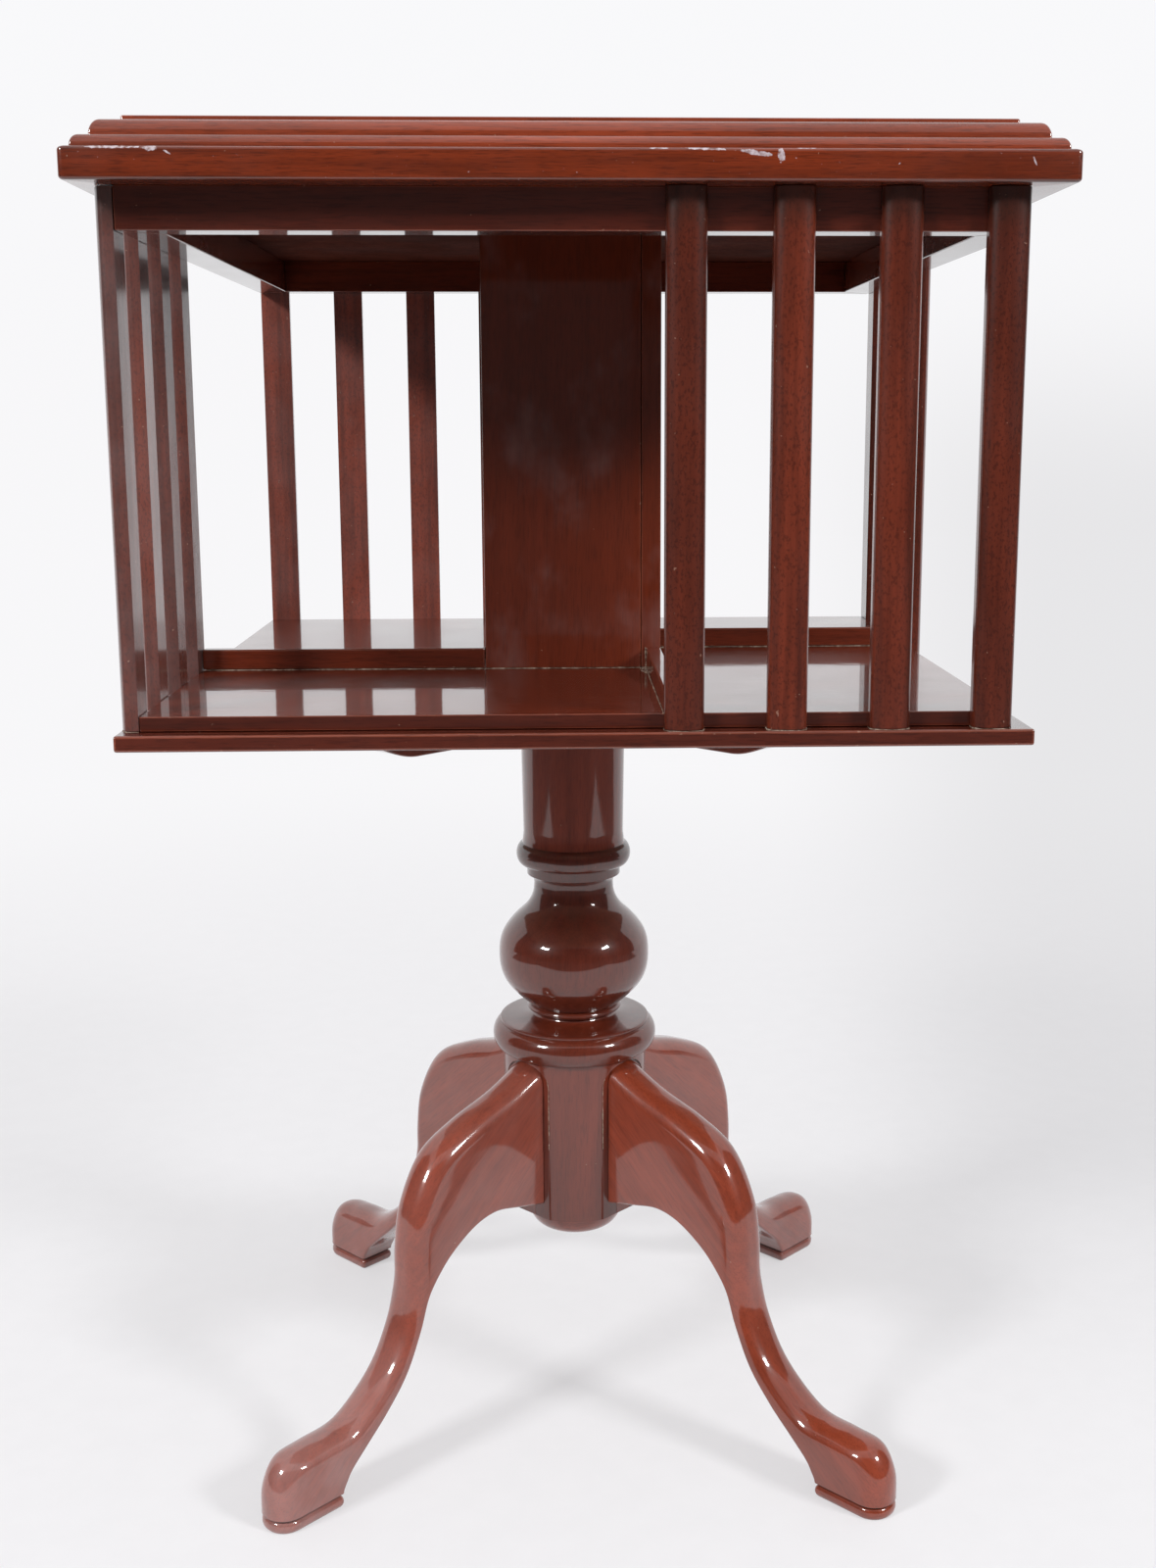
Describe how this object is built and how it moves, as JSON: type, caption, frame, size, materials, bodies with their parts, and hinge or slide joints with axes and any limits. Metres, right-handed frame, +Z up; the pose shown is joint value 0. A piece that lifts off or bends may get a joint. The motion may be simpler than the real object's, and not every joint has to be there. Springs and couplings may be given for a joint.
{
  "type": "revolving book table",
  "caption": "Square slatted book case with a moulded top that turns on a vase-turned pillar with cabriole legs, for standing books on all sides of a small side table.",
  "frame": {"origin": "on the floor under the pillar's axis", "axes": "+Z up; -Y is the front, the side the picture shows; +X is to the right of it"},
  "size_m": [0.5, 0.5, 0.8003],
  "materials": {
    "mahogany": "polished red-brown mahogany",
    "steel": "turned mild steel"
  },
  "bodies": {
    "pedestal": {"column": "mahogany", "column_cap": "mahogany", "leg_front_left": "mahogany", "leg_front_right": "mahogany", "leg_back_right": "mahogany", "leg_back_left": "mahogany", "spindle": "steel", "lower_bearing_plate": "steel"},
    "case": {"upper_bearing_plate": "steel", "spindle_bush": "steel", "guide_block": "mahogany", "bearer_lower_arm": "mahogany", "bearer_upper_arm": "mahogany", "bearer_screw_1": "steel", "bearer_screw_2": "steel", "bearer_screw_3": "steel", "bearer_screw_4": "steel", "bearer_screw_5": "steel", "bearer_screw_6": "steel", "bearer_screw_7": "steel", "bearer_screw_8": "steel", "base_board": "mahogany", "floor_board": "mahogany", "box_front": "mahogany", "stop_front": "mahogany", "frieze_front": "mahogany", "slat_front_1": "mahogany", "slat_front_2": "mahogany", "slat_front_3": "mahogany", "slat_front_4": "mahogany", "box_right": "mahogany", "stop_right": "mahogany", "frieze_right": "mahogany", "slat_right_1": "mahogany", "slat_right_2": "mahogany", "slat_right_3": "mahogany", "slat_right_4": "mahogany", "box_back": "mahogany", "stop_back": "mahogany", "frieze_back": "mahogany", "slat_back_1": "mahogany", "slat_back_2": "mahogany", "slat_back_3": "mahogany", "slat_back_4": "mahogany", "box_left": "mahogany", "stop_left": "mahogany", "frieze_left": "mahogany", "slat_left_1": "mahogany", "slat_left_2": "mahogany", "slat_left_3": "mahogany", "slat_left_4": "mahogany", "top_board": "mahogany", "top_moulding": "mahogany"}
  },
  "joints": [
    {"name": "case_turn", "type": "hinge", "parent": "pedestal", "child": "case", "pos_m": [0, 0, 0.4537], "axis": [0, 0, 1], "continuous": true}
  ]
}
